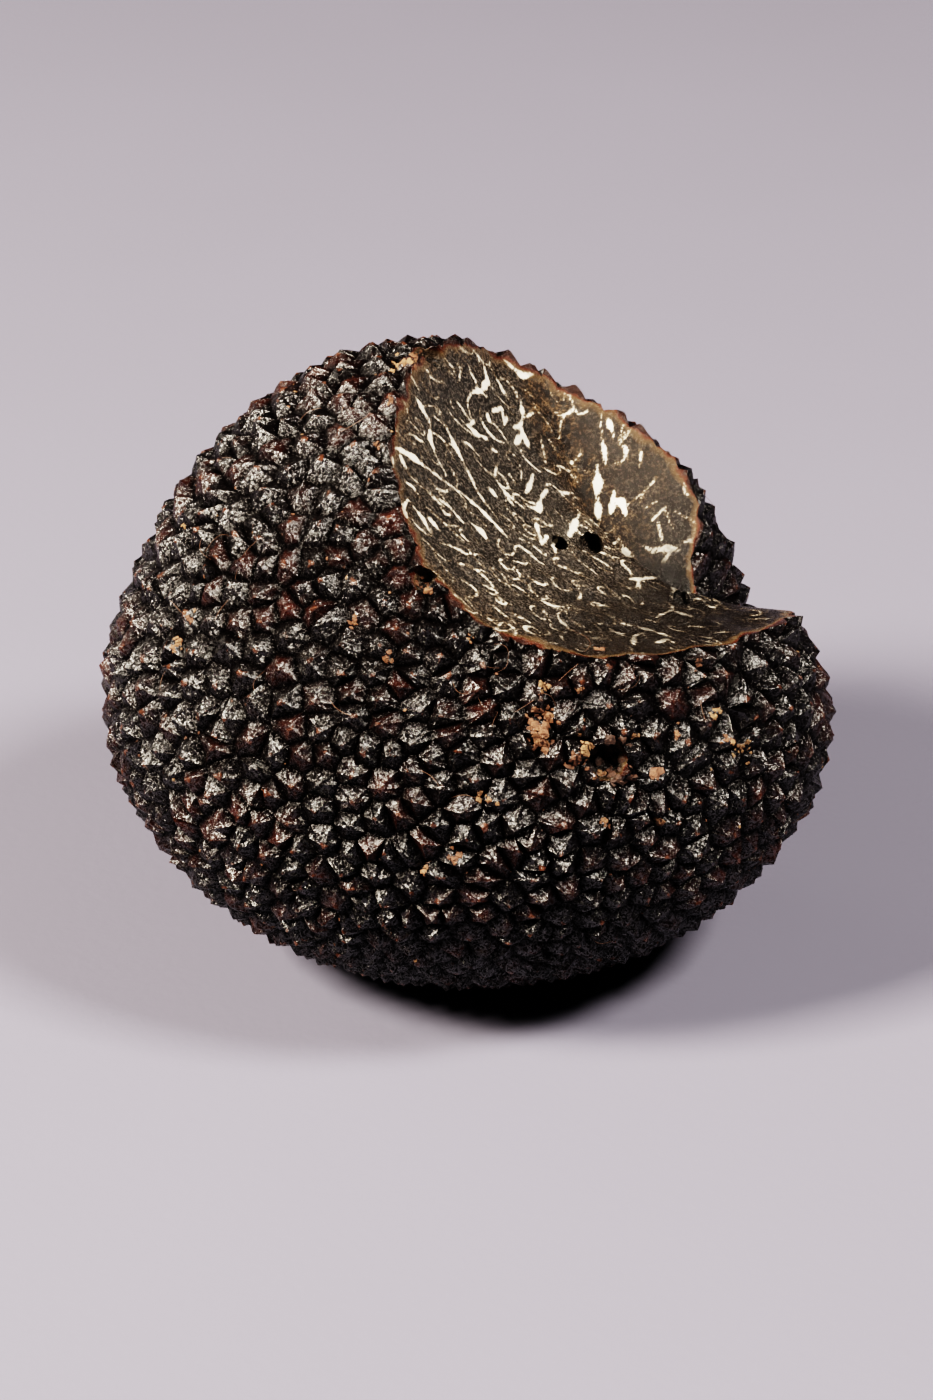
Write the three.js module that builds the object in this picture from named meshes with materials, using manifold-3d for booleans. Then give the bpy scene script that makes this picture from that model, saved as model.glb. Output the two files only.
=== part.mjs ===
// A whole black truffle with one wedge cut out of its upper right, lying on a small flat spot.
// The truffle grew as one piece, so it is one solid: a lumpy round body, covered all over in
// polygonal pyramid warts, less the wedge and a few small burrows.
// Millimetres, +Z up, X to the right and Y away from whoever looks into the cut.
// The origin is below the middle of the truffle, on the surface that it lies on. The sizes below
// are taken from the truffle's own centre, and the finished solid is lifted onto that surface.
import * as THREE from "three";
import { ConvexHull } from "three/addons/math/ConvexHull.js";
import { mergeVertices } from "three/addons/utils/BufferGeometryUtils.js";
import Module from "manifold-3d";

// Driving dimensions
const HALF_AXES = [33.3, 28.9, 26]; // the plain body before its lumps: 70 mm across in all
const CENTRE = new THREE.Vector3(-0.13, -1.04, 25.3); // the truffle's centre, above the origin
const WART_COUNT = 1580; // about 3 mm from one wart to the next
const WART_STRAY = 1.1; // how far a wart may start from its even place, in wart spacings
const WART_ROUNDS = 1; // rounds of pushing, which move every wart to the middle of its corners
const WART_LEAN = 0.45; // how far a tip may lean off its wart's middle, in wart spacings
const WART_PEAK = 0.5; // tip of a wart above the body
const WART_UNEVEN = 0.8; // spread of the tips' heights, as a share of the peak
const WART_VALLEY = 0.45; // valley between warts below the body
const FOOT_ANGLE = [0.16, 0.42]; // radians from straight down where warts start and are full height

// Lumps and hollows of the body: where they point, the share of the radius that they add and
// how tight they are
const LOBES = [
  { toward: [-0.12, 0.42, 0.9], share: 0.33, tight: 3 }, // the dome
  { toward: [-0.66, 0, 0.7], share: 0.02, tight: 12 }, // its left cheek
  { toward: [-0.97, -0.2, 0.12], share: 0.02, tight: 14 }, // left shoulder
  { toward: [-0.87, 0.05, 0.42], share: -0.02, tight: 60 }, // dip above the shoulder
  { toward: [0.97, -0.25, 0.02], share: 0.056, tight: 7 }, // right lobe
  { toward: [0.62, 0.45, 0.62], share: -0.04, tight: 6 }, // back right, high up
  { toward: [0.8, 0.6, 0.2], share: -0.02, tight: 20 }, // back right flank
  { toward: [0.94, 0.22, 0.22], share: -0.25, tight: 70 }, // fold in front of that flank
  { toward: [0.86, 0.2, 0.47], share: -0.2, tight: 70 }, // the fold's upper end
  { toward: [0.6, -0.6, 0.35], share: -0.03, tight: 5 }, // front right
  { toward: [-0.45, 0.85, 0.1], share: -0.05, tight: 18 }, // furrow at the back
  { toward: [0.25, 0.9, -0.25], share: 0.04, tight: 10 }, // lump at the back
  { toward: [-0.55, 0.35, -0.7], share: -0.04, tight: 12 }, // hollow underneath
  { toward: [0.6, -0.3, -0.7], share: 0.02, tight: 20 }, // lump underneath
  { toward: [-0.1, 0.04, -0.99], share: 0.012, tight: 40 }, // the spot that it lies on
];

// The wedge: three knife cuts that meet in a corner, as planes with normals into the open wedge
const CORNER = new THREE.Vector3(12, 6, 6.4);
const CUT_OUTWARD = unit([0.19, -0.235, 0.953]); // the way out of the wedge
const WALL = { through: new THREE.Vector3(-8, -6, 31.4), facing: unit([0.8, -0.28, 0.53]) };
const BACK = { through: new THREE.Vector3(11.2, 6, 6.4), facing: unit([-0.28, -0.76, 0.6]) };
const SHELF = { through: new THREE.Vector3(12, 6, 6.8), facing: unit([-0.09, 0.31, 0.95]) };
const SCOOP = 27; // how widely the wall runs over into the shelf
const CREASE = [10, 1.5]; // how widely the back face meets the others, high up and lower down
const CREASE_SOFT = 0.35; // how far the soft part of the crease reaches down
const TEAR_DEPTH = [0.2, 2.8]; // how deep the crease is torn, along the wall and along the shelf
const TEAR_WIDTH = [1.2, 2.0]; // half width of the tear, along the wall and along the shelf
const TEAR_WAVE = { u: 0.9, v: 1.3, least: 0.4 }; // the tear's depth rises and falls along its way
const CUT_REACH = [-34, 30]; // the cutter's square, across the way out
const CUT_STEP = 1.7; // spacing of the points on the cut faces
const CUTTER_HEIGHT = 60; // the cutter's top, clear above the dome
const SAME_POINT = 1e-4; // points closer than this are one

// Low waves that the blade left on the cut faces: turn per mm both ways, start and height
const KNIFE_WAVES = [
  { u: 0.8, v: 0.5, phase: 0, height: 0.16 },
  { u: 0.45, v: -1.1, phase: 1, height: 0.12 },
];

// Burrows and torn pits: where they open, their half width and their depth along the way in
const BURROWS = [
  { at: [-3.4, 9.7, 32.4], into: [0.25, 0.35, -0.9], wide: 1.7, deep: 3.2 }, // top of the wall
  { at: [-3.9, -17.0, 22.7], into: [0.4, 0.7, -0.6], wide: 1.1, deep: 2.2 }, // rim of the wall
  { at: [8.8, 2.3, 16.1], into: [0.0, 0.8, -0.6], wide: 0.9, deep: 2.4 }, // crease, higher
  { at: [12.0, 6.0, 14.2], into: [0.1, 0.85, -0.5], wide: 1.2, deep: 2.8 }, // crease, lower
  { at: [20.5, 1.0, 10.9], into: [0.1, 0.9, -0.4], wide: 1.1, deep: 2.6 }, // crease, by the fold
  { at: [12.9, -25.0, 8.4], into: [-0.35, 0.9, -0.25], wide: 1.9, deep: 2.8 }, // skin, front right
];

function unit(v) {
  return new THREE.Vector3(...v).normalize();
}

// A repeatable draw from -0.5 to 0.5 for item i of a set
function draw(i, set) {
  const s = Math.sin(i * 12.9898 + set * 78.233) * 43758.5453;
  return s - Math.floor(s) - 0.5;
}

// How far a has taken over from b, from 0 to 1, when they run together over the given width
function blend(a, b, width) {
  return THREE.MathUtils.clamp(0.5 + (0.5 * (a - b)) / width, 0, 1);
}

function smoothMax(a, b, width) {
  const t = blend(a, b, width);
  return THREE.MathUtils.lerp(b, a, t) + width * t * (1 - t);
}

// Distance from the centre to the plain lumpy body, in direction d
function bodyRadius(d) {
  const [a, b, c] = HALF_AXES;
  const ellipsoid = 1 / Math.hypot(d.x / a, d.y / b, d.z / c);
  const share = LOBES.reduce(
    (sum, lobe) => sum + lobe.share * Math.exp(lobe.tight * (d.dot(unit(lobe.toward)) - 1)),
    1,
  );
  return ellipsoid * share;
}

// A point of the skin: the body raised by relief, which fades out over the flat spot at the foot
function skinPoint(d, relief) {
  const angle = Math.acos(THREE.MathUtils.clamp(-d.z, -1, 1));
  const fade = THREE.MathUtils.smoothstep(angle, ...FOOT_ANGLE);
  let r = bodyRadius(d) + relief * fade;
  if (d.z < 0) r = Math.min(r, CENTRE.z / -d.z);
  return d.clone().multiplyScalar(r);
}

// Moves every direction by a seeded draw of up to half of share, in wart spacings
function strayed(directions, share, set) {
  const reach = share * Math.sqrt((4 * Math.PI) / WART_COUNT);
  return directions.map((d, i) => {
    const off = new THREE.Vector3(draw(i, set), draw(i, set + 1), draw(i, set + 2));
    return d.clone().addScaledVector(off, reach).normalize();
  });
}

function evenSpiral() {
  const turn = Math.PI * (3 - Math.sqrt(5));
  return Array.from({ length: WART_COUNT }, (_, i) => {
    const z = 1 - (2 * (i + 0.5)) / WART_COUNT;
    const ring = Math.sqrt(1 - z * z);
    return new THREE.Vector3(ring * Math.cos(i * turn), ring * Math.sin(i * turn), z);
  });
}

// The warts push against each other: each one moves to the middle of its cell's corners
function pushed(seeds) {
  const middles = new Map(seeds.map((seed) => [seed, new THREE.Vector3()]));
  for (const face of new ConvexHull().setFromPoints(seeds).faces) {
    const corner = face.normal.clone().normalize();
    let edge = face.edge;
    do {
      middles.get(edge.head().point).add(corner);
      edge = edge.next;
    } while (edge !== face.edge);
  }
  return seeds.map((seed) => middles.get(seed).normalize());
}

// The skin: the cells of the seeds' Voronoi diagram on the sphere, each raised to a pyramid.
// Every facet of the seeds' convex hull gives one valley point, where three warts meet.
function wartyBody() {
  let seeds = strayed(evenSpiral(), WART_STRAY, 1);
  for (let round = 0; round < WART_ROUNDS; round++) seeds = pushed(seeds);
  const numberOf = new Map(seeds.map((seed, i) => [seed, i]));
  const tips = strayed(seeds, WART_LEAN, 4);
  const positions = tips.map((tip, i) => skinPoint(tip, WART_PEAK * (1 + WART_UNEVEN * draw(i, 7))));
  const hull = new ConvexHull().setFromPoints(seeds);
  const valleyOf = new Map();
  for (const face of hull.faces) {
    valleyOf.set(face, positions.length);
    positions.push(skinPoint(face.normal.clone().normalize(), -WART_VALLEY));
  }
  const triangles = [];
  for (const face of hull.faces) {
    let edge = face.edge;
    do {
      const tip = numberOf.get(edge.tail().point);
      triangles.push(tip, valleyOf.get(edge.twin.face), valleyOf.get(face));
      edge = edge.next;
    } while (edge !== face.edge);
  }
  return { positions, triangles };
}

// Height of a knife plane over the point (u, v) of the square across the way out of the wedge
function planeHeight(plane, point) {
  return plane.through.clone().sub(point).dot(plane.facing) / CUT_OUTWARD.dot(plane.facing);
}

// The cut face over the point (u, v): the three planes run together, torn deeper along the crease
function cutHeight(u, v, point) {
  const wall = planeHeight(WALL, point);
  const back = planeHeight(BACK, point);
  const shelf = planeHeight(SHELF, point);
  const scoop = smoothMax(wall, shelf, SCOOP);
  const towardShelf = blend(shelf, wall, SCOOP);
  const wave = 0.5 + 0.5 * Math.sin(TEAR_WAVE.u * u + TEAR_WAVE.v * v);
  const depth = THREE.MathUtils.lerp(...TEAR_DEPTH, towardShelf);
  const away = (scoop - back) / THREE.MathUtils.lerp(...TEAR_WIDTH, towardShelf);
  const crease = THREE.MathUtils.lerp(...CREASE, THREE.MathUtils.smoothstep(towardShelf, 0, CREASE_SOFT));
  const tear = depth * THREE.MathUtils.lerp(TEAR_WAVE.least, 1, wave) * Math.exp(-away * away);
  const blade = KNIFE_WAVES.reduce((sum, k) => sum + k.height * Math.sin(k.u * u + k.v * v + k.phase), 0);
  return smoothMax(scoop, back, crease) - tear + blade;
}

// What the knife took away: a sheet of points on the cut faces, a flat sheet far above it,
// and four sides between their edges
function wedge() {
  const [low, high] = CUT_REACH;
  const count = Math.round((high - low) / CUT_STEP);
  const across = new THREE.Vector3(1, 0, 0).addScaledVector(CUT_OUTWARD, -CUT_OUTWARD.x).normalize();
  const along = CUT_OUTWARD.clone().cross(across);
  const bottom = [];
  const top = [];
  for (let j = 0; j <= count; j++) {
    for (let i = 0; i <= count; i++) {
      const u = low + ((high - low) * i) / count;
      const v = low + ((high - low) * j) / count;
      const point = CORNER.clone().addScaledVector(across, u).addScaledVector(along, v);
      bottom.push(point.clone().addScaledVector(CUT_OUTWARD, cutHeight(u, v, point)));
      top.push(point.addScaledVector(CUT_OUTWARD, CUTTER_HEIGHT));
    }
  }
  const row = count + 1;
  const sheet = row * row;
  const triangles = [];
  const quad = (a, b, c, d) => triangles.push(a, b, c, a, c, d);
  for (let j = 0; j < count; j++) {
    for (let i = 0; i < count; i++) {
      const a = j * row + i;
      quad(a, a + row, a + row + 1, a + 1);
      quad(sheet + a, sheet + a + 1, sheet + a + row + 1, sheet + a + row);
    }
  }
  for (let i = 0; i < count; i++) {
    const far = count * row + i;
    const left = i * row;
    const right = i * row + count;
    quad(i, i + 1, sheet + i + 1, sheet + i);
    quad(far + 1, far, sheet + far, sheet + far + 1);
    quad(left + row, left, sheet + left, sheet + left + row);
    quad(right, right + row, sheet + right + row, sheet + right);
  }
  return { positions: [...bottom, ...top], triangles };
}

// A burrow as a closed blunt plug, sunk from its mouth along the way in
function burrow({ at, into, wide, deep }) {
  const plug = new THREE.IcosahedronGeometry(1, 1).scale(wide, wide, deep);
  plug.lookAt(unit(into));
  return plug.translate(...at);
}

const wasm = await Module();
wasm.setup();

function solid(geometry) {
  const bare = geometry.clone();
  bare.deleteAttribute("normal");
  bare.deleteAttribute("uv");
  const merged = mergeVertices(bare, SAME_POINT);
  return new wasm.Manifold(
    new wasm.Mesh({
      numProp: 3,
      vertProperties: new Float32Array(merged.attributes.position.array),
      triVerts: new Uint32Array(merged.index.array),
    }),
  );
}

function geometryOf({ positions, triangles }) {
  const geometry = new THREE.BufferGeometry().setFromPoints(positions);
  return geometry.setIndex(triangles);
}

function truffleGeometry() {
  let body = solid(geometryOf(wartyBody())).subtract(solid(geometryOf(wedge())));
  for (const hole of BURROWS) body = body.subtract(solid(burrow(hole)));
  const mesh = body.getMesh();
  const geometry = new THREE.BufferGeometry();
  geometry.setAttribute("position", new THREE.BufferAttribute(mesh.vertProperties, 3));
  geometry.setIndex(new THREE.BufferAttribute(mesh.triVerts, 1));
  geometry.computeVertexNormals();
  return geometry.translate(...CENTRE.toArray());
}

const skin = new THREE.MeshStandardMaterial({ color: 0x17100e, roughness: 0.45, metalness: 0 });
const truffle = new THREE.Mesh(truffleGeometry(), skin);
truffle.name = "truffle";

const group = new THREE.Group();
group.add(truffle);

export default group;
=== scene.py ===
# %% [markdown]
# # A black truffle with a wedge cut out of it
# A black truffle is the fruit of a fungus that grows under ground. Its skin is hard, black-brown
# and covered all over in small pyramids, called warts. Inside it is dark and firm, with white
# veins. This one lies on a table, and a knife took a wedge out of its upper right side.
# A plain solid of it, with its warts as flat-sided pyramids, is already there as the frame. Every
# cell below makes one step towards a finer truffle that fills the same space.

# %% Load the frame and keep its box
import math

import bmesh
import bpy
import numpy as np
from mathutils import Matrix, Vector, noise
from mathutils.bvhtree import BVHTree
from mathutils.kdtree import KDTree


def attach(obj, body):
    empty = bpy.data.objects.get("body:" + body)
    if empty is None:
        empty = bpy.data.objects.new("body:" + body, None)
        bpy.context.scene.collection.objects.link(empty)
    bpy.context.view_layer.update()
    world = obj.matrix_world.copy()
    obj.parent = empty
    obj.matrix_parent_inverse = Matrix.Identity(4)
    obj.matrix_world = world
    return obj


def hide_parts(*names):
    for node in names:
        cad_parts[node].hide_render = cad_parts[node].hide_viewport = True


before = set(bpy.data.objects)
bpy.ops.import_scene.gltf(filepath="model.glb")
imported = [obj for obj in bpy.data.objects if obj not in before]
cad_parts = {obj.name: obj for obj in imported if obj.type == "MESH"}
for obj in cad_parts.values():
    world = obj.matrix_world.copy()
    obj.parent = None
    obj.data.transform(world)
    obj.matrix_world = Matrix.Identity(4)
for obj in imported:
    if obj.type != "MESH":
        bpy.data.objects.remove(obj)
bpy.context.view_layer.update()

# %% [markdown]
# ## The lumpy body
# A truffle swells between stones and roots, so it is a ball with lumps and hollows. Sculpting by
# hand would do it, but a formula can be measured and repeated: an ellipsoid whose radius grows or
# shrinks smoothly towards fifteen directions. Every point of the skin is then a direction from
# the truffle's centre and a distance along it. The sizes are in millimetres from that centre, and
# they are the ones that the frame was made with, so the fine truffle fits it.

# %% The body's radius in any direction
MM = 0.001
CENTRE = np.array([-0.13, -1.04, 25.3])  # the truffle's centre, above the origin on the table
HALF_AXES = np.array([33.3, 28.9, 26.0])
LOBES = [  # where each lump or hollow points, the share of the radius it adds, how tight it is
    ((-0.12, 0.42, 0.9), 0.33, 3),  # the dome
    ((-0.66, 0, 0.7), 0.02, 12),  # its left cheek
    ((-0.97, -0.2, 0.12), 0.02, 14),  # left shoulder
    ((-0.87, 0.05, 0.42), -0.02, 60),  # dip above the shoulder
    ((0.97, -0.25, 0.02), 0.056, 7),  # right lobe
    ((0.62, 0.45, 0.62), -0.04, 6),  # back right, high up
    ((0.8, 0.6, 0.2), -0.02, 20),  # back right flank
    ((0.94, 0.22, 0.22), -0.25, 70),  # fold in front of that flank
    ((0.86, 0.2, 0.47), -0.2, 70),  # the fold's upper end
    ((0.6, -0.6, 0.35), -0.03, 5),  # front right
    ((-0.45, 0.85, 0.1), -0.05, 18),  # furrow at the back
    ((0.25, 0.9, -0.25), 0.04, 10),  # lump at the back
    ((-0.55, 0.35, -0.7), -0.04, 12),  # hollow underneath
    ((0.6, -0.3, -0.7), 0.02, 20),  # lump underneath
    ((-0.1, 0.04, -0.99), 0.012, 40),  # the spot that it lies on
]


def unit(v):
    v = np.asarray(v, float)
    return v / np.linalg.norm(v, axis=-1, keepdims=True)


def body_radius(d):
    share = 1 + sum(s * np.exp(tight * (d @ unit(toward) - 1)) for toward, s, tight in LOBES)
    return share / np.linalg.norm(d / HALF_AXES, axis=-1)


print("radius to the top, mm:", round(float(body_radius(np.array([0.0, 0.0, 1.0]))), 1))

# %% [markdown]
# ## Where the warts are
# Warts grow like cells that push against each other, so each one is a polygon with four to seven
# sides. A Voronoi diagram is the drawing of such cells: every spot belongs to the nearest seed.
# On a ball it comes from the convex hull of the seeds: each triangle of the hull gives one corner
# where three warts meet. The seeds lie on an even spiral and each is pushed a little out of place
# by a draw that is the same every time.

# %% Seeds of the warts, and the corners between them
WART_COUNT = 1580  # about 3 mm from one wart to the next
WART_STRAY = 1.1  # spread of the warts' starts round their even places, in wart spacings
WART_ROUNDS = 1  # rounds of pushing: each moves every wart to the middle of its corners
WART_SPACING = math.sqrt(4 * math.pi / WART_COUNT)  # on a ball with a radius of 1


def draw(i, which):
    """A repeatable draw from -0.5 to 0.5 for item i of a set."""
    s = np.sin(np.asarray(i) * 12.9898 + which * 78.233) * 43758.5453
    return s - np.floor(s) - 0.5


def strayed(d, share, which):
    """Moves every direction by a draw of up to half of share, in wart spacings, each way."""
    i = np.arange(len(d))
    off = np.stack([draw(i, which), draw(i, which + 1), draw(i, which + 2)], axis=1)
    return unit(d + share * WART_SPACING * off)


def even_spiral():
    i = np.arange(WART_COUNT)
    z = 1 - 2 * (i + 0.5) / WART_COUNT
    ring = np.sqrt(1 - z * z)
    turn = i * math.pi * (3 - math.sqrt(5))
    return np.stack([ring * np.cos(turn), ring * np.sin(turn), z], axis=1)


def hull_triangles(points):
    bm = bmesh.new()
    for p in points:
        bm.verts.new(p)
    bm.verts.index_update()
    bmesh.ops.convex_hull(bm, input=bm.verts)
    triangles = np.array([[v.index for v in face.verts] for face in bm.faces])
    bm.free()
    a, b, c = (points[triangles[:, k]] for k in range(3))
    inward = np.einsum("ij,ij->i", np.cross(b - a, c - a), a) < 0
    triangles[inward] = triangles[inward][:, ::-1]
    return triangles


def wart_corners(points, triangles):
    a, b, c = (points[triangles[:, k]] for k in range(3))
    return unit(np.cross(b - a, c - a))


seeds = strayed(even_spiral(), WART_STRAY, 1)
for _ in range(WART_ROUNDS):
    hull = hull_triangles(seeds)
    sums = np.zeros_like(seeds)
    for k in range(3):
        np.add.at(sums, hull[:, k], wart_corners(seeds, hull))
    seeds = unit(sums)
hull = hull_triangles(seeds)
corners = wart_corners(seeds, hull)
print(len(seeds), "warts meet at", len(corners), "corners")

# %% [markdown]
# ## From pyramids to warts
# Each wart is a fan of flat triangles from its tip to the corners round it. On the real skin the
# valleys between warts are narrow and deep, the sides sag a little between sharp ridges, and no
# two warts are equally high. A displacement map could do that only on an even grid, which would
# blunt the ridges. So each triangle of the fan is split into smaller ones whose points lie on the
# ridges and in the valleys, and each point then moves in or out by how near it is to the tip.

# %% Tips and corners as points in space
WART_PEAK = 0.5  # tip of a wart above the body
WART_UNEVEN = 0.8  # spread of the tips' heights, as a share of the peak
WART_VALLEY = 0.45  # valley between warts below the body
WART_LEAN = 0.45  # spread of the tips round the warts' middles, in wart spacings
FOOT_ANGLE = (0.16, 0.42)  # radians from straight down where warts start and are full height


def smoothstep(x, low, high):
    t = np.clip((x - low) / (high - low), 0, 1)
    return t * t * (3 - 2 * t)


def relief_fade(d):
    """0 over the flat spot at the foot, 1 where the warts are full height."""
    return smoothstep(np.arccos(np.clip(-d[:, 2], -1, 1)), *FOOT_ANGLE)


tips = strayed(seeds, WART_LEAN, 4)
tip_height = WART_PEAK * (1 + WART_UNEVEN * draw(np.arange(WART_COUNT), 7))
knots = np.concatenate([
    tips * (body_radius(tips) + tip_height * relief_fade(tips))[:, None],
    corners * (body_radius(corners) - WART_VALLEY * relief_fade(corners))[:, None],
])
print("tips stand up to", round(tip_height.max(), 2), "mm above the body")

# %% Split every fan triangle
SPLIT = 4  # each side of a fan triangle becomes this many


def fan_triangles():
    """One triangle for each side of each wart: its tip and the two corners of that side."""
    left_of = {}
    for number, (a, b, c) in enumerate(hull):
        left_of[a, b] = left_of[b, c] = left_of[c, a] = WART_COUNT + number
    return np.array([(a, left_of[b, a], face) for (a, b), face in left_of.items()])


def split_fans(fans):
    """Each point as its three knots and their weights, shared points once, and the triangles."""
    steps = [(i, j, SPLIT - i - j) for i in range(SPLIT + 1) for j in range(SPLIT + 1 - i)]
    place = {step: k for k, step in enumerate(steps)}
    knot = np.repeat(fans[:, None, :], len(steps), axis=1)
    weight = np.broadcast_to(np.array(steps), knot.shape)
    knot = np.where(weight == 0, -1, knot)
    order = np.argsort(knot, axis=2)
    key = np.concatenate([np.take_along_axis(part, order, 2) for part in (knot, weight)], 2)
    key, number = np.unique(key.reshape(-1, 6), axis=0, return_inverse=True)
    number = number.reshape(len(fans), len(steps))
    small = []
    for i in range(SPLIT):
        for j in range(SPLIT - i):
            k = SPLIT - i - j
            small.append([place[i + 1, j, k - 1], place[i, j + 1, k - 1], place[i, j, k]])
            if k > 1:
                down = [(i + 1, j + 1, k - 2), (i, j + 1, k - 1), (i + 1, j, k - 1)]
                small.append([place[step] for step in down])
    return key[:, :3], key[:, 3:] / SPLIT, number[:, np.array(small)].reshape(-1, 3)


point_knot, point_weight, skin_triangles = split_fans(fan_triangles())
print("the skin has", len(point_knot), "points and", len(skin_triangles), "triangles")

# %% Move the points in and out
WART_BELLY = 0.05  # how far a wart's side bulges out halfway up, which narrows the valley
WART_HOLLOW = 0.12  # how far a side sags between two ridges
VALLEY_CRACK = 0.12  # how much deeper the crack along a valley is
ROUGHNESS = ((0.1, 1.1, 1), (0.05, 3.1, 2))  # coarse and fine: push in mm, lumps per mm, seed


def smooth_noise(points, per_mm, seed):
    """Noise from about -1 to 1 at each point, with per_mm lumps in a millimetre."""
    shift = Vector((seed * 17.3, seed * 5.1, seed * 9.7))
    return np.array([noise.noise(Vector(p) * per_mm + shift) for p in points])


is_tip = (point_knot >= 0) & (point_knot < WART_COUNT)
tip_share = np.where(is_tip, point_weight, 0).sum(axis=1)  # 1 at a tip, 0 along a valley


def skin_points():
    flat = np.einsum("pk,pkx->px", point_weight, knots[point_knot])
    d = unit(flat)
    middle = 27 * point_weight.prod(axis=1)  # 1 in the middle of a side, 0 all round it
    belly = WART_BELLY * 4 * tip_share * (1 - tip_share)
    relief = belly - WART_HOLLOW * middle - VALLEY_CRACK * (tip_share == 0)
    for push, per_mm, seed in ROUGHNESS:
        relief += push * smooth_noise(flat, per_mm, seed)
    radius = np.linalg.norm(flat, axis=1) + relief * relief_fade(d)
    lowest = np.where(d[:, 2] < 0, CENTRE[2] / np.maximum(-d[:, 2], 1e-6), np.inf)
    return d * np.minimum(radius, lowest)[:, None]


def on_ridges():
    """1 on the lines from a tip to its corners, less toward the corner, and 0 beside them."""
    corners_held = ((point_weight > 0) & ~is_tip).sum(axis=1)
    return np.where(corners_held < 2, np.sqrt(tip_share), 0)


skin_xyz = skin_points()
ridge = on_ridges()
print("the skin spans, mm:", np.round(np.ptp(skin_xyz, axis=0), 1))

# %% [markdown]
# ## The wedge
# The knife went in three times: down the left, along the back and flat across the bottom. A thin
# box for each cut would leave straight, machine-like faces. Here one sheet of points lies on the
# three planes at once and runs smoothly from one into the next, torn deeper where they meet. The
# sheet is closed above into a solid, which is taken away from the body.

# %% The cut faces as one sheet
CORNER = np.array([12, 6, 6.4])  # where the three cuts meet
CUT_OUTWARD = unit([0.19, -0.235, 0.953])  # the way out of the wedge
WALL = (np.array([-8, -6, 31.4]), unit([0.8, -0.28, 0.53]))  # a point on it, and where it faces
BACK = (np.array([11.2, 6, 6.4]), unit([-0.28, -0.76, 0.6]))
SHELF = (np.array([12, 6, 6.8]), unit([-0.09, 0.31, 0.95]))
SCOOP = 27  # how widely the wall runs over into the shelf
CREASE = (10, 1.5)  # how widely the back face meets the others, high up and lower down
CREASE_SOFT = 0.35  # how far the soft part of the crease reaches down
TEAR_DEPTH = (0.2, 2.8)  # how deep the crease is torn, along the wall and along the shelf
TEAR_WIDTH = (1.2, 2.0)
TEAR_WAVE = (0.9, 1.3, 0.4)  # its turn per mm both ways, and its least share of the depth
KNIFE_WAVES = ((0.8, 0.5, 0, 0.16), (0.45, -1.1, 1, 0.12))  # turn per mm both ways, start, height
CUT_REACH = (-34, 30)
CUT_STEP = 0.22  # spacing of the points on the cut faces
CUTTER_HEIGHT = 60

across = unit(np.array([1.0, 0, 0]) - CUT_OUTWARD[0] * CUT_OUTWARD)
along = np.cross(CUT_OUTWARD, across)


def on_plane(u, v):
    """The point, or points, u across and v along the plane through the corner."""
    return CORNER + np.multiply.outer(u, across) + np.multiply.outer(v, along)


def blend(a, b, width):
    return np.clip(0.5 + 0.5 * (a - b) / width, 0, 1)


def smooth_max(a, b, width):
    t = blend(a, b, width)
    return b + (a - b) * t + width * t * (1 - t)


def plane_height(plane, points):
    through, facing = plane
    return ((through - points) @ facing) / (CUT_OUTWARD @ facing)


def cut_height(u, v):
    points = on_plane(u, v)
    wall, back, shelf = (plane_height(plane, points) for plane in (WALL, BACK, SHELF))
    scoop = smooth_max(wall, shelf, SCOOP)
    toward_shelf = blend(shelf, wall, SCOOP)
    wave = 0.5 + 0.5 * np.sin(TEAR_WAVE[0] * u + TEAR_WAVE[1] * v)
    depth = TEAR_DEPTH[0] + (TEAR_DEPTH[1] - TEAR_DEPTH[0]) * toward_shelf
    width = TEAR_WIDTH[0] + (TEAR_WIDTH[1] - TEAR_WIDTH[0]) * toward_shelf
    tear = depth * (TEAR_WAVE[2] + (1 - TEAR_WAVE[2]) * wave)
    tear = tear * np.exp(-(((scoop - back) / width) ** 2))
    crease = CREASE[0] + (CREASE[1] - CREASE[0]) * smoothstep(toward_shelf, 0, CREASE_SOFT)
    blade = sum(h * np.sin(a * u + b * v + start) for a, b, start, h in KNIFE_WAVES)
    return smooth_max(scoop, back, crease) - tear + blade


print("the sheet over the corner, mm:", round(float(cut_height(0, 0)), 1))

# %% Close the sheet into a cutter
def make_mesh(name, points, faces):
    mesh = bpy.data.meshes.new(name)
    mesh.from_pydata(((points + CENTRE) * MM).tolist(), [], faces)
    mesh.update()
    return mesh


def add_object(name, mesh):
    made = bpy.data.objects.new(name, mesh)
    bpy.context.scene.collection.objects.link(made)
    return made


def wedge_cutter():
    count = round((CUT_REACH[1] - CUT_REACH[0]) / CUT_STEP)
    line = np.linspace(*CUT_REACH, count + 1)
    v, u = (grid.ravel() for grid in np.meshgrid(line, line, indexing="ij"))
    plane = on_plane(u, v)
    sheet = plane + cut_height(u, v)[:, None] * CUT_OUTWARD
    row = count + 1
    a = (np.arange(count)[:, None] * row + np.arange(count)).ravel()
    faces = np.concatenate([
        np.stack([a, a + row, a + row + 1], axis=1),
        np.stack([a, a + row + 1, a + 1], axis=1),
    ]).tolist()
    edge = list(range(row))
    edge += [j * row + count for j in range(1, row)]
    edge += [count * row + i for i in range(count - 1, -1, -1)]
    edge += [j * row for j in range(count - 1, 0, -1)]
    top = row * row
    lid = plane[edge] + CUTTER_HEIGHT * CUT_OUTWARD
    for k, low in enumerate(edge):
        after = (k + 1) % len(edge)
        faces.append([low, edge[after], top + after, top + k])
    faces.append([top + k for k in range(len(edge))])
    name = "wedge cutter"
    return add_object(name, make_mesh(name, np.concatenate([sheet, lid]), faces))


def store(mesh, name, domain, values):
    mesh.attributes.new(name, "FLOAT", domain).data.foreach_set("value", np.asarray(values, float))


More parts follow.
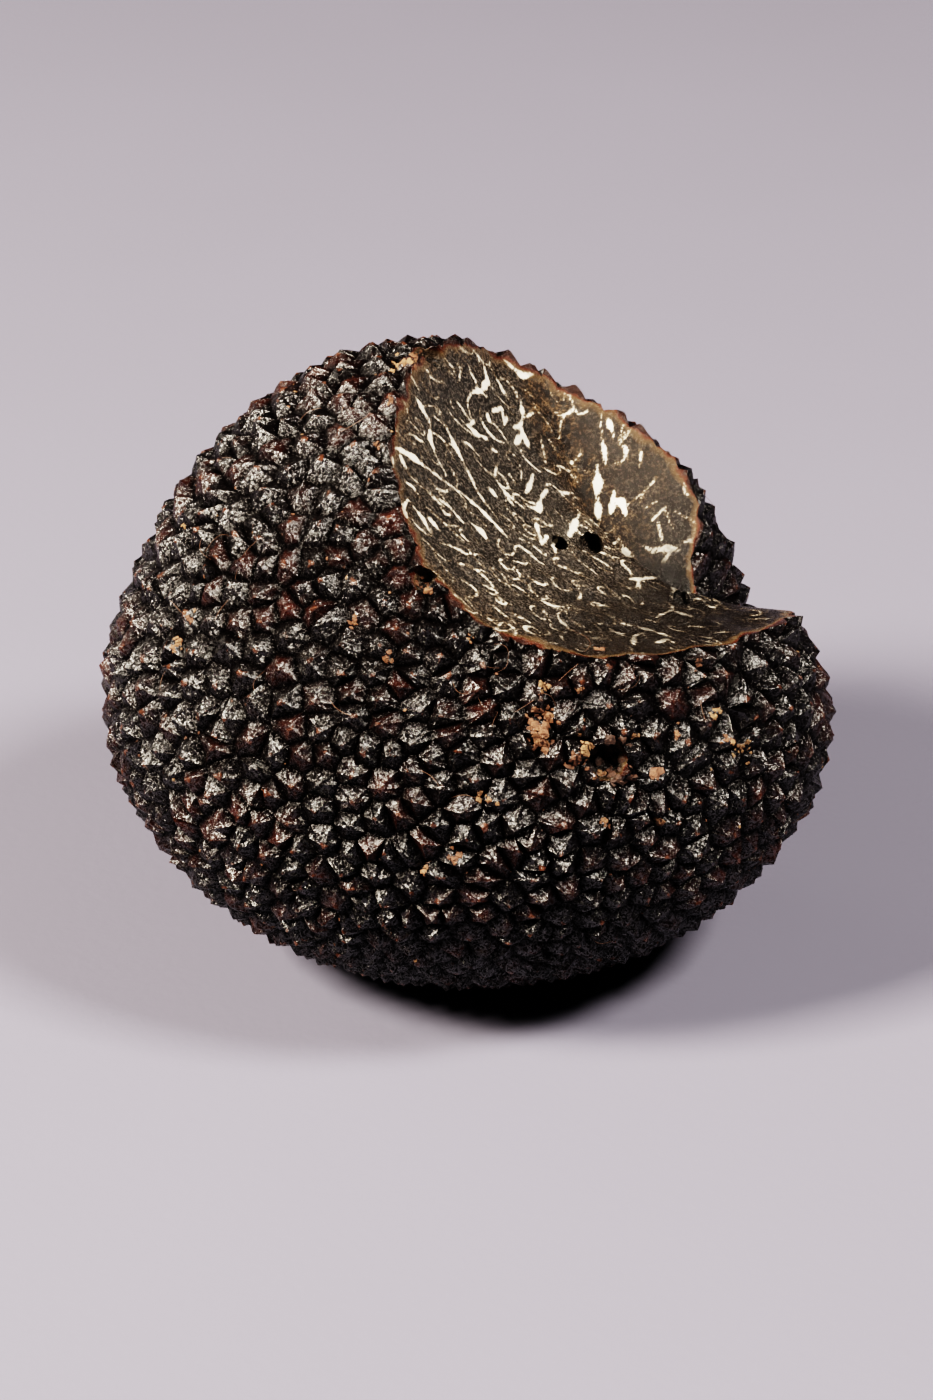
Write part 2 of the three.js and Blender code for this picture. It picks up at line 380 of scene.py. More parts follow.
skin = make_mesh("truffle", skin_xyz, skin_triangles.tolist())
truffle = add_object("truffle_flesh_and_skin", skin)
store(truffle.data, "ridge", "POINT", ridge)
cutter = wedge_cutter()
print("the cutter has", len(cutter.data.polygons), "faces")

# %% [markdown]
# ## Burrows and the cut
# Grubs eat small tunnels into a truffle, and the knife opened two of them. The flesh is also torn
# into pits along the crease. Each is a lump like a rough egg, sunk into the surface, and is taken
# away like the wedge. A Boolean modifier does this: it keeps the solid closed, so that the new
# edge between skin and flesh is sharp and jagged, warts and all. The manifold solver is quick
# on meshes of this size, and each tool's faces bring their own material slot along.

# %% Rough eggs for the burrows
BURROWS = [  # where each one opens, the way in, half its width and its depth
    ((-3.4, 9.7, 32.4), (0.25, 0.35, -0.9), 1.7, 3.2),  # top of the wall
    ((-3.9, -17.0, 22.7), (0.4, 0.7, -0.6), 1.1, 2.2),  # rim of the wall
    ((8.8, 2.3, 16.1), (0.0, 0.8, -0.6), 0.9, 2.4),  # crease, higher
    ((12.0, 6.0, 14.2), (0.1, 0.85, -0.5), 1.2, 2.8),  # crease, lower
    ((20.5, 1.0, 10.9), (0.1, 0.9, -0.4), 1.1, 2.6),  # crease, by the fold
    ((12.9, -25.0, 8.4), (-0.35, 0.9, -0.25), 1.9, 2.8),  # skin, front right
]
BURROW_ROUGH = 0.18  # push of the burrows' rough wall, as a share of their size
BURROW_LUMPS = 2.2  # lumps of it across half the width
BURROW_SEED = 10


def egg(detail):
    """Points and triangles of a ball with a radius of 1, to be squeezed into an egg."""
    bm = bmesh.new()
    bmesh.ops.create_icosphere(bm, subdivisions=detail, radius=1)
    points = np.array([v.co for v in bm.verts])
    faces = [[v.index for v in face.verts] for face in bm.faces]
    bm.free()
    return points, faces


def lump(ball, rough, sizes, way, middle):
    """The ball with the given half sizes, the last one along way, and rough by shares of them."""
    turn = np.array(Vector((0, 0, 1)).rotation_difference(Vector(way)).to_matrix())
    return (ball * (1 + rough)[:, None] * sizes) @ turn.T + middle


def join(name, pieces):
    """One mesh from the points and faces of many pieces."""
    starts = np.cumsum([0] + [len(points) for points, _ in pieces])
    faces = [
        [start + k for k in face]
        for (_, piece_faces), start in zip(pieces, starts.tolist()) for face in piece_faces
    ]
    return make_mesh(name, np.concatenate([points for points, _ in pieces]), faces)


def burrow_cutter():
    ball, faces = egg(4)
    pieces = []
    for number, (at, into, wide, deep) in enumerate(BURROWS):
        rough = BURROW_ROUGH * smooth_noise(ball, BURROW_LUMPS, BURROW_SEED + number)
        pieces.append((lump(ball, rough, (wide, wide, deep), into, at), faces))
    return add_object("burrow cutter", join("burrow cutter", pieces))


# %% Cut, and throw the tools away
SKIN, FLESH = 0, 1  # the two material slots of the truffle


def cut_away(body, tool):
    tool.data.polygons.foreach_set("material_index", np.full(len(tool.data.polygons), FLESH))
    change = body.modifiers.new("cut", "BOOLEAN")
    change.operation = "DIFFERENCE"
    change.solver = "MANIFOLD"
    change.object = tool
    seen = body.evaluated_get(bpy.context.evaluated_depsgraph_get())
    cut = bpy.data.meshes.new_from_object(seen)
    body.modifiers.clear()
    body.data = cut
    bpy.data.objects.remove(tool)


skin_finish = bpy.data.materials.new("waxy_black_brown_truffle_skin")
flesh_finish = bpy.data.materials.new("moist_dark_truffle_flesh_with_white_veins")
burrows = burrow_cutter()
for thing in (truffle, cutter, burrows):
    thing.data.materials.append(skin_finish)
    thing.data.materials.append(flesh_finish)
cut_away(truffle, cutter)
cut_away(truffle, burrows)


def count_open_edges(mesh):
    bm = bmesh.new()
    bm.from_mesh(mesh)
    open_edges = sum(not edge.is_manifold for edge in bm.edges)
    bm.free()
    return open_edges


def of_faces(mesh, what):
    values = np.zeros(len(mesh.polygons), int)
    mesh.polygons.foreach_get(what, values)
    return values


slot_of_face = of_faces(truffle.data, "material_index")
triangles = of_faces(truffle.data, "loop_total") - 2
for kind, slot in (("skin", SKIN), ("flesh", FLESH)):
    print(kind, "triangles:", int(triangles[slot_of_face == slot].sum()))
print("open edges:", count_open_edges(truffle.data))

# %% [markdown]
# ## What each spot knows about itself
# The finish needs to know where it is: deep in a valley or on a ridge, on which wart, how far
# below the skin. A mesh can carry such values as attributes, one for each point or face, and a
# material reads them by name. They are measured here on the finished mesh. Facets of the skin
# stay flat, because a real wart breaks up the light like a cut stone, and the flesh is smooth.

# %% Measure the points and faces
def places(items, what):
    """Where the points or faces of a mesh are, in mm from the truffle's centre."""
    xyz = np.empty(len(items) * 3)
    items.foreach_get(what, xyz)
    return xyz.reshape(-1, 3) / MM - CENTRE


def nearest_wart(d):
    parts = np.array_split(d, 40)  # because all at once takes 2 GB of memory
    return np.concatenate([np.argmax(part @ seeds.T, axis=1) for part in parts])


surface = places(truffle.data.vertices, "co")
out = unit(surface)
above_body = np.linalg.norm(surface, axis=1) - body_radius(out)
store(truffle.data, "above_body", "POINT", above_body)
wart_of_face = nearest_wart(unit(places(truffle.data.polygons, "center")))
store(truffle.data, "wart_tint", "FACE", draw(wart_of_face, 8) + 0.5)
truffle.data.polygons.foreach_set("use_smooth", slot_of_face == FLESH)
print("points lie between", round(above_body.min(), 1), "and", round(above_body.max(), 1), "mm")
off_corner = surface - CORNER
on_sheet = on_plane(off_corner @ across, off_corner @ along)
wall_up, back_up, shelf_up = (plane_height(plane, on_sheet) for plane in (WALL, BACK, SHELF))
store(truffle.data, "from_crease", "POINT", back_up - smooth_max(wall_up, shelf_up, SCOOP))
store(truffle.data, "on_shelf", "POINT", blend(shelf_up, wall_up, SCOOP / 2))

# %% [markdown]
# ## White veins in the flesh
# Cut flesh is dark with spores, and white veins without spores wind through it like a maze. They
# are only colour, so they need no relief. A picture would be blurred and would fit one view only.
# Here each vein is a line of points on the cut, and each point of the flesh knows how far it is
# from the nearest line: the finish then draws a sharp edge at the vein's half width. The boldest
# veins are placed where the photograph shows them, through the camera's own eye, and land on the
# cut. The many small ones grow from seeds between them, each along the grain of its face.

# %% The camera's eye, which the bold veins are seen with
CAMERA_TARGET = np.array([0, 0, 0.4])  # the middle of the photograph, from the truffle's centre
CAMERA_DISTANCE = 330
CAMERA_ELEVATION = math.radians(30)
LENS = 88.25  # mm, and so is the sensor's longer side
SENSOR = 36
PHOTO_SIZE = (933, 1400)
PER_PIXEL = SENSOR / LENS / PHOTO_SIZE[1]  # how far a ray moves aside for one pixel

eye_right = np.array([1.0, 0, 0])
eye_up = np.array([0, math.sin(CAMERA_ELEVATION), math.cos(CAMERA_ELEVATION)])
eye_forward = np.cross(eye_up, eye_right)
eye = CAMERA_TARGET - CAMERA_DISTANCE * eye_forward
shape = BVHTree.FromPolygons(surface.tolist(), [list(f.vertices) for f in truffle.data.polygons])


def seen_at(x, y):
    """The point of the truffle that the photograph shows at pixel x, y, and its face's number."""
    ray = eye_forward + (x - PHOTO_SIZE[0] / 2) * PER_PIXEL * eye_right
    ray = ray - (y - PHOTO_SIZE[1] / 2) * PER_PIXEL * eye_up
    place, _, face, _ = shape.ray_cast(Vector(eye), Vector(unit(ray)))
    return (None, None) if place is None else (np.array(place), face)


# %% Bold veins
BOLD_VEINS = [  # half width in mm, then the pixels of the photograph that the vein runs through
    (0.32, (415, 395), (425, 414), (430, 422), (430, 440), (434, 449)),  # antler, upper left
    (0.16, (434, 416), (446, 426), (453, 442), (466, 467), (478, 493), (497, 518)),
    (0.32, (484, 367), (488, 381), (481, 391), (472, 392)),  # antler, top
    (0.14, (472, 392), (467, 402), (470, 416), (474, 421)),
    (0.34, (474, 421), (468, 426), (474, 432), (487, 439)),
    (0.2, (481, 391), (487, 397)),
    (0.33, (493, 411), (502, 408), (504, 424), (508, 416)),  # crown
    (0.22, (487, 414), (490, 423)),
    (0.24, (521, 402), (523, 418), (520, 426), (513, 428)),  # antler, right
    (0.32, (520, 426), (523, 434), (515, 444)),
    (0.2, (523, 418), (533, 413)),
    (0.22, (523, 434), (530, 450)),
    (0.2, (541, 440), (544, 451), (546, 464)),
    (0.31, (504, 359), (513, 368), (523, 376), (533, 374)),  # below the right rim
    (0.24, (457, 364), (461, 368), (459, 380)),
    (0.26, (384, 447), (397, 448), (411, 456), (426, 467)),  # long vein from the left rim
    (0.16, (426, 467), (439, 477), (466, 497), (478, 507), (494, 523), (507, 537)),
    (0.22, (389, 448), (394, 466)),
    (0.18, (399, 454), (407, 470)),
    (0.26, (404, 481), (413, 487), (421, 499)),
    (0.22, (408, 499), (416, 510), (424, 520), (430, 533)),
    (0.2, (408, 499), (403, 508), (408, 520)),
    (0.26, (429, 518), (440, 531)),
    (0.18, (439, 499), (450, 507), (458, 517), (464, 523)),
    (0.3, (472, 524), (482, 532), (486, 538)),
    (0.34, (547, 490), (541, 498), (539, 510), (530, 507)),  # where the wall meets the back
    (0.28, (533, 474), (531, 483), (526, 493)),
    (0.16, (509, 474), (517, 485)),
    (0.16, (497, 465), (495, 477)),
    (0.26, (489, 488), (497, 497)),
    (0.26, (490, 448), (497, 452)),
    (0.33, (536, 523), (542, 545), (547, 536)),
    (0.31, (597, 466), (598, 483), (597, 496), (599, 519)),  # down the back face
    (0.2, (601, 429), (604, 448), (606, 467)),
    (0.28, (608, 419), (614, 438)),
    (0.22, (614, 491), (611, 513)),
    (0.28, (615, 500), (622, 502), (626, 516)),
    (0.32, (579, 515), (569, 536)),
    (0.22, (652, 520), (665, 507), (670, 523), (675, 529)),
    (0.28, (658, 523), (662, 539)),
    (0.28, (621, 542), (625, 552), (638, 559)),
    (0.3, (641, 544), (652, 551), (667, 548), (680, 550)),
    (0.14, (682, 542), (700, 540), (703, 544)),
    (0.2, (670, 552), (661, 565), (663, 577), (675, 586)),
    (0.33, (682, 568), (694, 567), (707, 573)),
    (0.33, (675, 586), (702, 588)),
    (0.32, (675, 586), (672, 600)),
    (0.28, (629, 579), (638, 579), (661, 577)),
    (0.24, (638, 579), (639, 589)),
    (0.3, (558, 536), (553, 544), (556, 553)),
    (0.3, (621, 623), (650, 630), (675, 638)),  # on the shelf
    (0.3, (634, 645), (634, 636), (642, 633), (647, 638)),
    (0.26, (656, 643), (667, 639), (680, 646)),
    (0.2, (656, 617), (671, 610), (694, 617)),
]
VEIN_STEP = 0.08  # mm between the points of a vein's line
STEP_PIXELS = 0.8  # the same, as the photograph shows it
VEIN_KNOTS_PER_MM = 0.8  # a vein swells into knots and thins to threads about this often
VEIN_SWELL = (0.4, 0.85, 1.4)  # least and middle share of its width, and how much that varies


def swelling(point):
    least, middle, more = VEIN_SWELL
    return max(least, middle + more * noise.noise(Vector(point) * VEIN_KNOTS_PER_MM))


def bold_vein_points():
    """Points on the cut with their half width, which tapers toward both ends of a vein."""
    lines = []
    for half, *stops in BOLD_VEINS:
        stops = np.array(stops, float)
        gone = np.concatenate([[0], np.cumsum(np.linalg.norm(np.diff(stops, axis=0), axis=1))])
        for run in np.arange(0, gone[-1], STEP_PIXELS):
            place, face = seen_at(*(np.interp(run, gone, stops[:, k]) for k in (0, 1)))
            if place is not None and slot_of_face[face] == FLESH:
                taper = 0.5 + 0.5 * math.sin(math.pi * (run / gone[-1]))
                lines.append((*place, half * swelling(place) * taper))
    return np.array(lines)


bold_veins = bold_vein_points()
print("points on bold veins:", len(bold_veins))

# %% Small veins, grown from seeds
VEIN_COUNT = 5200  # seeds tried; most find their place taken
VEIN_GAP = 1.0  # mm between a new seed and the veins that are there
VEIN_MERGE = 0.3  # mm at which a growing vein has met another one
VEIN_LENGTH = (1.0, 5.5)
VEIN_HALF = (0.06, 0.14)
GRAIN = {"wall": -52, "back": -84, "shelf": -6}  # degrees from level, as the photograph shows them
GRAIN_HOLD = {"wall": 0.8, "back": 0.45, "shelf": 0.75}  # how closely veins follow it
GRAIN_STRAY = 1.6  # radians that a vein strays where nothing holds it
BARE = {"wall": 0, "back": 0.3, "shelf": 0.35}  # share of the seeds that fail there
BACK_ROUND = 2  # how widely the back face's share grows where it meets the others
BRANCHING = 0.45  # share of the veins that have a third arm, its angle off them and its length
BRANCH_ANGLE = (0.5, 1.1)
BRANCH_LENGTH = 0.8
VEIN_BEND = 1.0  # spread of the bend of a whole arm, in radians per mm
VEIN_SHAKE = 0.05  # spread of the turn at each step, in radians
VEIN_MARK_STEPS = 3  # a vein takes its place at every so many steps
RIM_CLEAR = 0.55  # mm of rind that has no veins


def along_grain(face, plane):
    """The grain's direction on one cut face, as u and v."""
    angle = math.radians(GRAIN[face])
    seen = math.cos(angle) * eye_right + math.sin(angle) * eye_up
    facing = plane[1]
    run = seen - (seen @ facing) / (eye_forward @ facing) * eye_forward
    return unit([run @ across, run @ along])


def sheet_point(u, v):
    """The point of the cut at u and v, and whether it is clear of the rim."""
    point = on_plane(u, v) + cut_height(u, v) * CUT_OUTWARD
    return point, np.linalg.norm(point) <= body_radius(unit(point)) - RIM_CLEAR


def face_shares(u, v):
    point = on_plane(u, v)
    wall, back, shelf = (plane_height(plane, point) for plane in (WALL, BACK, SHELF))
    low = blend(shelf, wall, SCOOP)
    on_back = blend(back, smooth_max(wall, shelf, SCOOP), BACK_ROUND)
    return {"wall": (1 - low) * (1 - on_back), "shelf": low * (1 - on_back), "back": on_back}


def grow_veins():
    rng = np.random.default_rng(7)
    planes = {"wall": WALL, "back": BACK, "shelf": SHELF}
    grain = {face: along_grain(face, plane) for face, plane in planes.items()}
    taken = {}

    def cell(u, v):
        return math.floor(u / VEIN_GAP), math.floor(v / VEIN_GAP)

    def take(u, v, number):
        taken.setdefault(cell(u, v), []).append((u, v, number))

    def near(u, v, reach, but=-1):
        column, row = cell(u, v)
        around = [(column + i, row + j) for i in (-1, 0, 1) for j in (-1, 0, 1)]
        return any(
            number != but and (a - u) ** 2 + (b - v) ** 2 < reach * reach
            for spot in around for a, b, number in taken.get(spot, ())
        )

    for x, y, z, _ in bold_veins[::VEIN_MARK_STEPS]:
        off = np.array([x, y, z]) - CORNER
        take(off @ across, off @ along, 0)
    lines = []
    for number in range(1, VEIN_COUNT):
        u, v = rng.uniform(*CUT_REACH, 2)
        if not sheet_point(u, v)[1] or near(u, v, VEIN_GAP):
            continue
        shares = face_shares(u, v)
        if rng.random() < sum(shares[face] * BARE[face] for face in shares):
            continue
        hold = sum(shares[face] * GRAIN_HOLD[face] for face in shares)
        heading = sum(shares[face] * grain[face] for face in shares)
        angle = math.atan2(heading[1], heading[0]) + rng.normal(0, GRAIN_STRAY * (1 - hold))
        half = rng.uniform(*VEIN_HALF)
        arms = [(angle, 1.0), (angle + math.pi, 1.0)]
        if rng.random() < BRANCHING:
            arms.append((angle + rng.choice([-1, 1]) * rng.uniform(*BRANCH_ANGLE), BRANCH_LENGTH))
        for way, share in arms:
            length = share * rng.uniform(*VEIN_LENGTH) / 2
            bend = rng.normal(0, VEIN_BEND)
            a, b = u, v
            for k in range(int(length / VEIN_STEP)):
                a += VEIN_STEP * math.cos(way)
                b += VEIN_STEP * math.sin(way)
                way += bend * VEIN_STEP + rng.normal(0, VEIN_SHAKE)
                here, clear = sheet_point(a, b)
                if not clear:
                    break
                lines.append((*here, half * swelling(here) * (1 - 0.5 * k * VEIN_STEP / length)))
                if near(a, b, VEIN_MERGE, number):
                    break
                if k % VEIN_MARK_STEPS == 0:
                    take(a, b, number)
    return np.array(lines)


small_veins = grow_veins()
print("points on small veins:", len(small_veins))

# %% How far each point of the flesh is from a vein
VEIN_FAR = 1.0  # the value where no vein is near
VEIN_NEIGHBOURS = 10  # points compared, because a bold vein reaches further than a small one


def vein_edge():
    lines = np.concatenate([bold_veins, small_veins])
    tree = KDTree(len(lines))
    for number, (x, y, z, _) in enumerate(lines):
        tree.insert((x, y, z), number)
    tree.balance()
    used = np.zeros(len(surface), bool)
    for face in truffle.data.polygons:
        if face.material_index == FLESH:
            used[list(face.vertices)] = True
    edge = np.full(len(surface), VEIN_FAR)
    for k in np.flatnonzero(used):
        found = tree.find_n(surface[k], VEIN_NEIGHBOURS)
        edge[k] = min(far - lines[number][3] for _, number, far in found)
    return np.minimum(edge, VEIN_FAR)


store(truffle.data, "vein_edge", "POINT", vein_edge())

# %% [markdown]
# ## The skin's finish
# The skin, or peridium, is a crust of hard dark cells with a waxy half gloss, like black tree
# bark that was oiled. Its colour is close to black with a red-brown glow in places. The gloss is
# broken up by grit finer than the warts: small cells that each tip the light another way. A
# plain bump would only soften it, so each little cell here tilts as one piece, and glitters. Dull
# wrinkles run between the glossy spots and keep the skin from looking like plastic.

# %% Helpers for colours, nodes and finishes
PER_MM = 1000  # the scene is in metres, and patterns are given by the millimetre


def linear(code, alpha=1.0):
    """An sRGB hex colour as the linear colour that Blender calculates with."""
    parts = [int(code[k:k + 2], 16) / 255 for k in (1, 3, 5)]
    return (*[c / 12.92 if c <= 0.04045 else ((c + 0.055) / 1.055) ** 2.4 for c in parts], alpha)


def add(tree, kind, inputs=(), **settings):
    """Adds a node. Its inputs are a list in Blender's order, or a dictionary by name, and each one
    is a value, a node (its first output) or a node and an output's name."""
    made = tree.nodes.new("ShaderNode" + kind)
    for name, value in settings.items():
        setattr(made, name, value)
    sockets = [s for s in made.inputs if s.enabled]
    if isinstance(inputs, dict):
        sockets = [next(s for s in sockets if s.name == name) for name in inputs]
        inputs = inputs.values()
    for socket, value in zip(sockets, inputs):
        if isinstance(value, bpy.types.Node):
            value = (value, next(s.name for s in value.outputs if s.enabled))
        if isinstance(value, tuple) and isinstance(value[0], bpy.types.Node):
            source, name = value
            tree.links.new(next(s for s in source.outputs if s.name == name and s.enabled), socket)
        else:
            socket.default_value = value
    return made


def start_finish(material, measures=(), noises=()):
    """Clears a material. Gives its tree and what each spot has: its place, the values that were
    measured on the mesh, and noises, each with its lumps per mm, detail, harshness and warp."""
    material.use_nodes = True
    tree = material.node_tree
    tree.nodes.clear()
    spot = {"where": (add(tree, "TexCoord"), "Object")}
    for name in measures:
        spot[name] = (add(tree, "Attribute", attribute_name=name), "Fac")
    for name, per_mm, detail, harshness, warp in noises:
        spot[name] = add(tree, "TexNoise", {
            "Vector": spot["where"], "Scale": per_mm * PER_MM, "Detail": detail,
            "Roughness": harshness, "Distortion": warp,
        })
    return tree, spot


# %% Waxy black-brown skin
SKIN_BLACK = linear("#060404")
SKIN_RED = linear("#28110b")
SKIN_WORN = linear("#3a2e28")
# painted shade for the valleys between the warts
SKIN_VALLEY_SHADE = linear("#050303")
RIDGE_TAN = linear("#472b1e")
SKIN_IOR = 1.5  # dry cell walls, close to wood
SKIN_NOISES = [  # lumps per mm, detail, harshness, warp
    ("patches", 0.12, 3, 0.5, 0),  # where the skin is redder
    ("spots", 0.9, 4, 0.65, 0),  # the same, within a wart
    ("flecks", 1.6, 4, 0.7, 0),  # worn places on the tips
    ("frays", 1.3, 5, 0.5, 0),  # gaps in the tan lines along the ridges
    ("crinkle", 4.2, 4, 0.7, 1.2),  # fine bumps
    ("gloss", 0.8, 3, 0.5, 0),
    ("wrinkles", 3.4, 4, 0.65, 1),  # low values are dull
]
NOISE_SPAN = (0.3, 0.7)  # nearly all of a noise lies between these
WRINKLE_EDGE = (0.45, 0.54)  # from fully dull to fully glossy
GRIT_PER_MM = 3.6
GRIT_TILT = 0.5


def finish_skin():
    tree, spot = start_finish(skin_finish, ("above_body", "wart_tint", "ridge"), SKIN_NOISES)
    # red-brown in patches, more on some warts than on others
    red = add(tree, "Math", [spot["patches"], spot["wart_tint"]], operation="MULTIPLY")
    red = add(tree, "Math", [red, spot["spots"]], operation="MULTIPLY")
    red = add(tree, "MapRange", [red, 0.12, 0.4])
    # worn tips, tan ridges, and painted shade that darkens the valleys
    worn = add(tree, "MapRange", [spot["flecks"], 0.56, 0.76])
    on_top = add(tree, "MapRange", [spot["above_body"], 0.1, 0.8])
    worn = add(tree, "Math", [worn, on_top], operation="MULTIPLY")
    gaps = add(tree, "MapRange", [spot["frays"], *NOISE_SPAN, -0.45, 0.12])
    line = add(tree, "Math", [spot["ridge"], gaps])
    line = add(tree, "MapRange", [line, 0.76, 0.94, 0, 0.7])
    # painted shade: darker the deeper a spot lies in a valley
    deep = add(tree, "MapRange", [spot["above_body"], 0, -0.45])
    colour = SKIN_BLACK
    for share, over in ((red, SKIN_RED), (worn, SKIN_WORN), (line, RIDGE_TAN), (deep, SKIN_VALLEY_SHADE)):
        colour = add(tree, "Mix", [share, colour, over], data_type="RGBA")
    # each cell of grit tips as one piece, and a finer crinkle breaks it up again
    grit = add(tree, "TexVoronoi", {"Vector": spot["where"], "Scale": GRIT_PER_MM * PER_MM})
    tilt = add(tree, "VectorMath", [(grit, "Color"), (0.5, 0.5, 0.5)], operation="SUBTRACT")
    tilt = add(tree, "VectorMath", [tilt, GRIT_TILT], operation="SCALE")
    facing = (add(tree, "NewGeometry"), "Normal")
    facing = add(tree, "VectorMath", [facing, tilt], operation="ADD")
    facing = add(tree, "VectorMath", [facing], operation="NORMALIZE")
    facing = add(tree, "Bump", {
        "Height": spot["crinkle"], "Normal": facing, "Strength": 0.9, "Distance": 0.075 * MM,
    })
    # glossy between the dull wrinkles, and the reflection is turned down in the valleys as painted
    # shade
    rough = add(tree, "MapRange", [spot["gloss"], *NOISE_SPAN, 0.14, 0.28])
    matt = add(tree, "MapRange", [spot["wrinkles"], *WRINKLE_EDGE, 0.12, 0])
    rough = add(tree, "Math", [rough, matt])
    # painted shade: less reflection the deeper a spot lies in a valley
    valley_shaded_gloss = add(tree, "MapRange", [spot["above_body"], -0.5, -0.1, 0.2, 0.9])
    glossy = add(tree, "MapRange", [spot["wrinkles"], *WRINKLE_EDGE, 0.06, 1])
    valley_shaded_gloss = add(tree, "Math", [valley_shaded_gloss, glossy], operation="MULTIPLY")
    shader = add(tree, "BsdfPrincipled", {
        "Base Color": colour, "Roughness": rough, "IOR": SKIN_IOR, "Specular IOR Level": valley_shaded_gloss,
        "Normal": facing,
    })
    add(tree, "OutputMaterial", [shader])


finish_skin()
print("skin finish has", len(skin_finish.node_tree.nodes), "nodes")

# %% [markdown]
# ## The flesh's finish
# Fresh flesh is moist and firm, and grainy from millions of dark spore sacs. It is a dark
# grey-brown, with a thin amber rind where the skin was cut through, and a tan band by the rim
# where it began to dry. Along the upper crease it was torn, not cut, and is brown, with pits
# painted in as dark spots of painted shade; the lower crease is darkened with painted shade, and
# the shelf is darker still. The veins are cream-white and denser than the grain, and run thin
# into it at their edges.

# %% Moist dark flesh
FLESH_DARK = linear("#0d0b0a")
FLESH_GRAIN = linear("#595149")
FLESH_TORN = linear("#1d150e")
FLESH_TORN_GRAIN = linear("#654e31")
# near black: painted shade in the pits and along the lower crease, and the darker shelf
FLESH_DEEP = linear("#0a0706")
VEIN_CREAM = linear("#e6dccb")
VEIN_TAN = linear("#6d5a42")
RIND_TAN = linear("#54432f")
RIND_AMBER = linear("#3a190b")
RIND_RED = linear("#1d0c07")
FLESH_IOR = 1.4  # mostly water
FLESH_NOISES = [  # lumps per mm, detail, harshness, warp
    ("grain", 3.2, 5, 0.8, 0),  # spore sacs
    ("mottle", 0.7, 4, 0.6, 0),  # where they lie closer
    ("wander", 0.5, 4, 0.5, 0),  # shifts the borders of rind and torn flesh
    ("drying", 0.16, 3, 0.5, 0),
    ("pits", 1.1, 5, 0.7, 0),
    ("fray", 4, 3, 0.5, 0),  # the veins' ragged edges
]
STREAKS_PER_MM = (0.35, 2.5, 2.5)  # long ones along x


